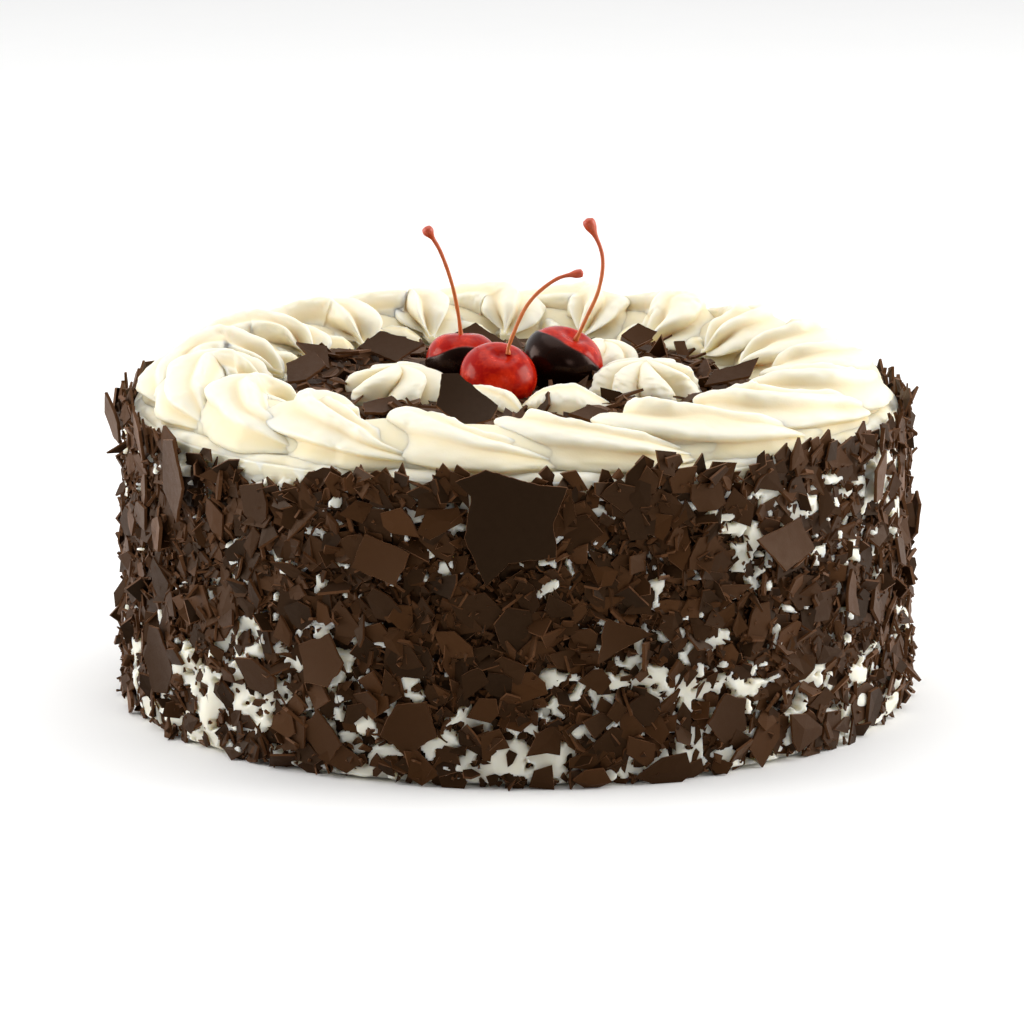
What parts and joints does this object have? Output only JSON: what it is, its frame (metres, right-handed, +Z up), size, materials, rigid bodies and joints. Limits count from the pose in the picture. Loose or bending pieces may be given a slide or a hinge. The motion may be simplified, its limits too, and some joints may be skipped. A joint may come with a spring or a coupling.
{
  "type": "black forest cake",
  "caption": "Whole round cream cake with chocolate flakes round its side, a piped cream border, chocolate shavings and dipped cherries with stalks on top.",
  "frame": {"origin": "centre of the flat base, on the surface that the cake stands on", "axes": "+Z up along the cake's axis, -Y towards the front with the broad chocolate plate"},
  "size_m": [0.2283, 0.2259, 0.1342],
  "materials": {
    "whipped_cream": "soft satin ivory whipped cream, slightly translucent, with fine pores and smears",
    "dark_chocolate": "dark chocolate flakes with a satin broken surface",
    "cherry_skin": "glossy syrup-wet red cherry skin, half dipped in dark chocolate",
    "cherry_stalk": "satin orange-red stalk with a darker end"
  },
  "bodies": {
    "root": {"cake_body": "whipped_cream", "cherry_left": "cherry_skin", "cherry_middle": "cherry_skin", "cherry_right": "cherry_skin", "cream_shell_01": "whipped_cream", "cream_shell_02": "whipped_cream", "cream_shell_03": "whipped_cream", "cream_shell_04": "whipped_cream", "cream_shell_05": "whipped_cream", "cream_shell_06": "whipped_cream", "cream_shell_07": "whipped_cream", "cream_shell_08": "whipped_cream", "cream_shell_09": "whipped_cream", "cream_shell_10": "whipped_cream", "cream_shell_11": "whipped_cream", "cream_shell_12": "whipped_cream", "cream_shell_13": "whipped_cream", "cream_shell_14": "whipped_cream", "cream_shell_15": "whipped_cream", "cream_shell_16": "whipped_cream", "cream_shell_17": "whipped_cream", "cream_shell_18": "whipped_cream", "flake_coat": "dark_chocolate", "petal_front": "whipped_cream", "petal_middle": "whipped_cream", "rosette_back": "whipped_cream", "rosette_left": "whipped_cream", "rosette_right": "whipped_cream", "shard_back_five": "dark_chocolate", "shard_back_four": "dark_chocolate", "shard_back_one": "dark_chocolate", "shard_back_three": "dark_chocolate", "shard_back_two": "dark_chocolate", "shard_edge_right": "dark_chocolate", "shard_far_right": "dark_chocolate", "shard_foot_left": "dark_chocolate", "shard_front_left": "dark_chocolate", "shard_front_plate": "dark_chocolate", "shard_front_right": "dark_chocolate", "shard_left_leaf": "dark_chocolate", "shard_left_low": "dark_chocolate", "shard_left_star": "dark_chocolate", "shard_left_tip": "dark_chocolate", "shard_low_left": "dark_chocolate", "shard_low_right": "dark_chocolate", "shard_mid_left": "dark_chocolate", "shard_mid_right": "dark_chocolate", "shard_rim_right": "dark_chocolate", "shavings_bed": "dark_chocolate", "stalk_left": "cherry_stalk", "stalk_middle": "cherry_stalk", "stalk_right": "cherry_stalk", "topping_behind_left": "dark_chocolate", "topping_front_sliver": "dark_chocolate", "topping_left_back": "dark_chocolate", "topping_left_flat": "dark_chocolate", "topping_left_front": "dark_chocolate", "topping_right_back": "dark_chocolate", "topping_right_point": "dark_chocolate", "topping_window": "dark_chocolate"}
  },
  "joints": []
}
